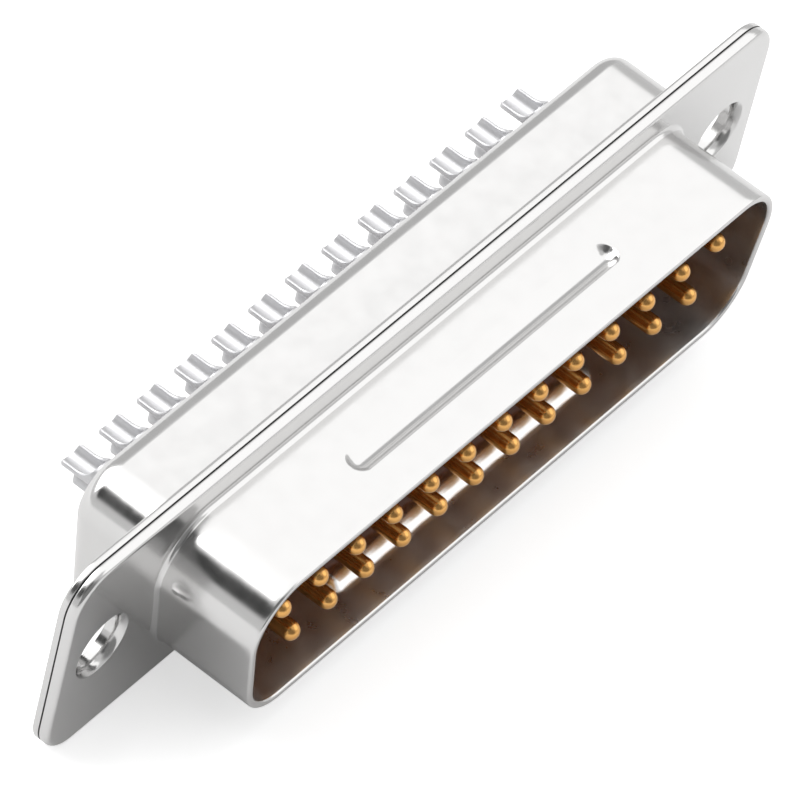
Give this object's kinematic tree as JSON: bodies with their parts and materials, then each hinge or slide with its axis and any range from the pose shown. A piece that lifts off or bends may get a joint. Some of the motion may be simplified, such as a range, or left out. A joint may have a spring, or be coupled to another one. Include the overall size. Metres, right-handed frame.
{
  "type": "d-sub connector",
  "caption": "D-sub plug in a nickel-plated steel shell: keyed D-shaped skirt round two rows of pins, flange with a screw hole at each end, and open solder cups behind",
  "frame": {"origin": "middle of the plane where the two flanges meet, on the line between the two screw holes; the flange's front face is 0.55 mm in front of it", "axes": "+X runs along the connector from the left screw hole to the right one, -Y points out of the mating side, +Y to the solder cups, and +Z to the long row and the wide side of the D"},
  "size_m": [0.053, 0.014, 0.0124],
  "materials": {
    "nickel_plate": "smooth nickel plate on drawn steel",
    "insulator": "matte moulded thermoplastic",
    "contact_gold": "polished thin gold plate"
  },
  "bodies": {
    "root": {"front_shell": "nickel_plate", "rear_shell": "nickel_plate", "front_insulator": "insulator", "rear_insulator": "insulator", "contact_01": "contact_gold", "contact_02": "contact_gold", "contact_03": "contact_gold", "contact_04": "contact_gold", "contact_05": "contact_gold", "contact_06": "contact_gold", "contact_07": "contact_gold", "contact_08": "contact_gold", "contact_09": "contact_gold", "contact_10": "contact_gold", "contact_11": "contact_gold", "contact_12": "contact_gold", "contact_13": "contact_gold", "contact_14": "contact_gold", "contact_15": "contact_gold", "contact_16": "contact_gold", "contact_17": "contact_gold", "contact_18": "contact_gold", "contact_19": "contact_gold", "contact_20": "contact_gold", "contact_21": "contact_gold", "contact_22": "contact_gold", "contact_23": "contact_gold", "contact_24": "contact_gold", "contact_25": "contact_gold"}
  },
  "joints": []
}
